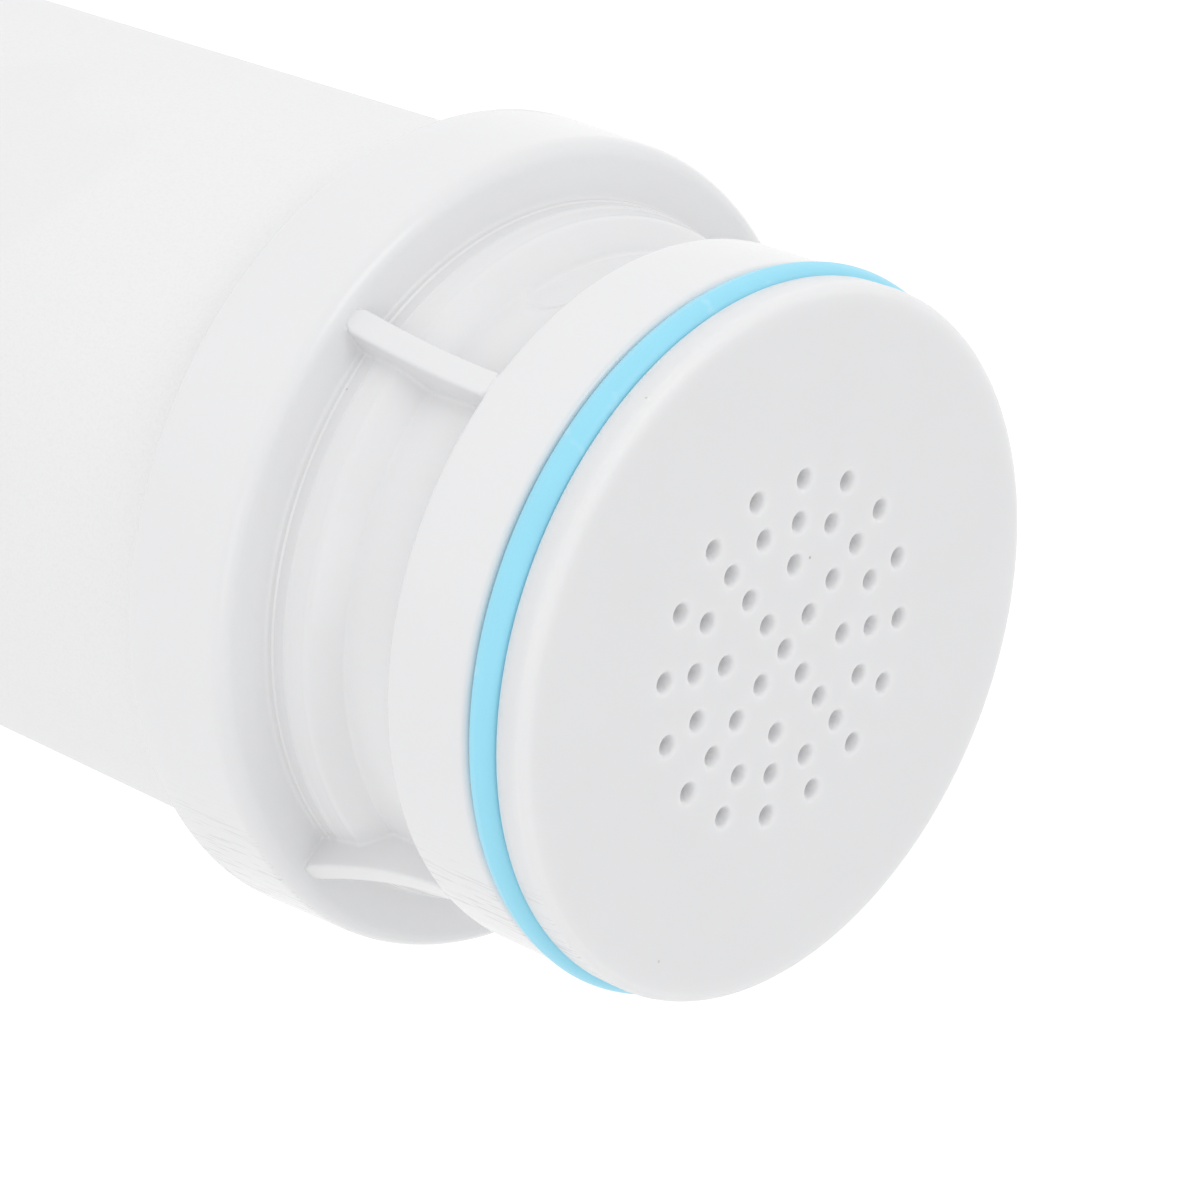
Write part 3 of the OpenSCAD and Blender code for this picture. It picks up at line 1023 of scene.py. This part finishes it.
def silicone(title, colour, roughness):
    finish = Finish(title, colour, roughness, IOR=1.43, Specular_IOR_Level=0.5)
    haze = finish.noise(6.0, 3.0)
    smear = finish.noise(2.6, 2.0).above(0.68, 0.10)
    fine = finish.noise(0.25, 2.0)
    lint = finish.specks(2.6, 0.16, 0.30)
    base = finish.blend(haze, shade(colour, 0.96), shade(colour, 1.03))
    base = finish.blend(smear * 0.22, base, (0.72, 0.88, 0.94))
    base = finish.blend(lint * 0.35, base, (0.80, 0.90, 0.93))
    rough = roughness + (haze - 0.5) * 0.12 + smear * 0.10
    return finish.apply(base, rough, finish.bump(fine, 0.010))


seal_blue = silicone("seal_blue", (0.31, 0.72, 0.895), 0.38)
print("ring:", seal_blue.name)

# %% [markdown]
# ## What is inside
#
# Everything inside is hidden until the cartridge is cut open, but each piece still has the finish
# of its own stuff: felt is a mat of fibres, and a bed is a heap of grains, so its colour changes
# from cell to cell and its surface is knobbly.

# %% Finishes of the fillings


def grains(title, dark, light, size, roughness, metallic=0.0):
    """A packed bed of grains: one colour per grain, with painted shade in the gaps between them."""
    finish = Finish(title, light, roughness, Metallic=metallic)
    cell = {"Vector": finish.place, "Scale": 1 / (size * MM)}
    distance = finish.node("TexVoronoi", None, cell)
    tone = finish.node("SeparateColor", None, {"Color": finish.node("TexVoronoi", None, cell, "Color")})
    # The gaps between grains are darkened: painted shade where one grain hides the next.
    gap = distance.above(0.62, 0.35)
    base = finish.blend(tone, dark, light)
    base = finish.blend(gap * 0.7, base, shade(dark, 0.25))
    rough = roughness + (tone - 0.5) * 0.2
    return finish.apply(base, rough, finish.bump(1 - distance, size * 0.35))


def fibres(title, colour, size):
    """Matted fibres: long streaks that cross each other."""
    finish = Finish(title, colour, 0.9, Sheen_Weight=0.25)
    along = finish.noise(size, 3.0, (1, 0.12, 1))
    across = finish.noise(size, 3.0, (0.12, 1, 1))
    tuft = finish.noise(size * 8, 2.0)
    mat = (along + across) * 0.5
    base = finish.blend(mat, shade(colour, 0.82), shade(colour, 1.05))
    base = finish.blend(tuft * 0.25, base, shade(colour, 0.9))
    return finish.apply(base, 0.8 + mat * 0.2, finish.bump(mat * 0.7 + tuft * 0.3, 0.12))


def drawn_steel(title, colour):
    """Fine stainless wire, drawn through a die: streaks along it and a dull grey skin."""
    finish = Finish(title, colour, 0.32, Metallic=1.0)
    streaks = finish.noise(0.4, 3.0, (1, 0.1, 1))
    stain = finish.noise(5.0, 2.0)
    base = finish.blend(stain, shade(colour, 0.85), shade(colour, 1.05))
    return finish.apply(base, 0.26 + streaks * 0.2, finish.bump(streaks, 0.004))


inside = {
    "mesh_steel": drawn_steel("mesh_steel", (0.60, 0.60, 0.61)),
    "inner_plastic": moulded_plastic("inner_plastic", (0.72, 0.75, 0.77), 0.5, 0.3, (0.74, 0.74, 0.70), 0),
    "cotton_white": fibres("cotton_white", (0.84, 0.84, 0.82), 0.35),
    "felt_white": fibres("felt_white", (0.80, 0.80, 0.76), 0.25),
    "carbon_black": grains("carbon_black", (0.012, 0.012, 0.013), (0.045, 0.045, 0.048), 1.1, 0.55),
    "brass_granules": grains("brass_granules", (0.42, 0.27, 0.08), (0.82, 0.60, 0.26), 0.8, 0.38, 1.0),
    "sulphite_white": grains("sulphite_white", (0.70, 0.70, 0.64), (0.88, 0.88, 0.83), 1.8, 0.6),
    "ceramic_buff": grains("ceramic_buff", (0.56, 0.47, 0.38), (0.82, 0.76, 0.67), 3.2, 0.65),
}
print("finishes inside:", ", ".join(inside))

# %% Give every piece its finish
outside = {
    "cap_white": cap_white,
    "plate_white": plate_white,
    "seal_blue": seal_blue,
    "tube_white": tube_white,
}
finishes = {**outside, **inside}


def dress(thing, material):
    """The object's mesh gets this one material."""
    thing.data.materials.clear()
    thing.data.materials.append(material)


for piece in (neck_and_collar, o_ring, outlet_disc, outer_tube, rear_moulding, inlet_disc):
    dress(piece, finishes[piece["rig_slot"]])
slot_of_node = {row["node"]: row["material_slot"] for row in frame["record"]["subparts"]}
for name, thing in frame["nodes"].items():
    dress(thing, finishes[slot_of_node[name]])
print("dressed", len(frame["nodes"]), "packed nodes")

# %% [markdown]
# ## Floor, light and camera
#
# The finished view shows a white piece on a white ground: almost no shadow, and forms told apart by a few
# per cent of grey. A bright, even room does most of it. Two large soft lights, a key and a weaker
# one across from it, brighten the shoulders of the collar and flange and leave the undersides grey.

# %% Floor
floor_size = 6.0
floor_z = -0.0001
floor_mesh = bpy.data.meshes.new("floor")
corners = [(-1, -1), (1, -1), (1, 1), (-1, 1)]
spots = [(x * floor_size / 2, y * floor_size / 2, floor_z) for x, y in corners]
floor_mesh.from_pydata(spots, [], [(0, 1, 2, 3)])
floor = bpy.data.objects.new("floor", floor_mesh)
bpy.context.scene.collection.objects.link(floor)
paper = Finish("paper", (0.95, 0.95, 0.95), 0.9, Emission_Color=(1, 1, 1), Emission_Strength=0.15)
paper_grain = paper.noise(60.0, 2.0)
dress(floor, paper.apply(paper.blend(paper_grain, (0.955, 0.955, 0.955), (0.965, 0.965, 0.965))))
print("floor is", floor_size, "m across")

# %% Lights
room_light = 0.90
room = bpy.data.worlds.new("room")
room.use_nodes = True
room.node_tree.nodes["Background"].inputs["Color"].default_value = (1, 1, 1, 1)
room.node_tree.nodes["Background"].inputs["Strength"].default_value = room_light
bpy.context.scene.world = room
bpy.context.scene.view_settings.view_transform = "Standard"


def softbox(title, bearing, elevation, distance, size, watts, aim):
    """A square area light, placed by compass bearing and elevation round the aim, in degrees."""
    lamp = bpy.data.lights.new(title, "AREA")
    lamp.shape = "SQUARE"
    lamp.size = size
    lamp.energy = watts
    around, over = math.radians(bearing), math.radians(elevation)
    away = Vector((math.cos(over) * math.cos(around), math.cos(over) * math.sin(around), math.sin(over)))
    holder = bpy.data.objects.new(title, lamp)
    holder.location = Vector(aim) + away * distance
    holder.rotation_euler = away.to_track_quat("Z", "Y").to_euler()
    bpy.context.scene.collection.objects.link(holder)
    print(title, "at", [round(v, 3) for v in holder.location], "m,", watts, "W")
    return holder


middle = (0.0, 0.0, 0.11)
light_distance = 0.6
light_size = 0.28
softbox("key", -38, 50, light_distance, light_size, 0.44, middle)
softbox("edge", 50, 42, light_distance, light_size, 0.16, middle)

# %% Camera
aim = Vector((18.60, 8.59, 150.0)) * MM
bearing, elevation, roll = 20.73, 38.96, 111.43
distance = 268.2 * MM
camera = bpy.data.objects.new("camera", bpy.data.cameras.new("camera"))
bpy.context.scene.collection.objects.link(camera)
bpy.context.scene.camera = camera
around, over = math.radians(bearing), math.radians(elevation)
toward = Vector((math.cos(over) * math.cos(around), math.cos(over) * math.sin(around), math.sin(over)))
camera.location = aim + toward * distance
camera.rotation_mode = "QUATERNION"
rolled = Matrix.Rotation(math.radians(roll), 4, "Z").to_quaternion()
camera.rotation_quaternion = toward.to_track_quat("Z", "Y") @ rolled
camera.data.sensor_width = 36
camera.data.lens = 127.18
camera.data.clip_start = 0.01
camera.data.clip_end = 20
print("camera at", [round(v, 4) for v in camera.location])
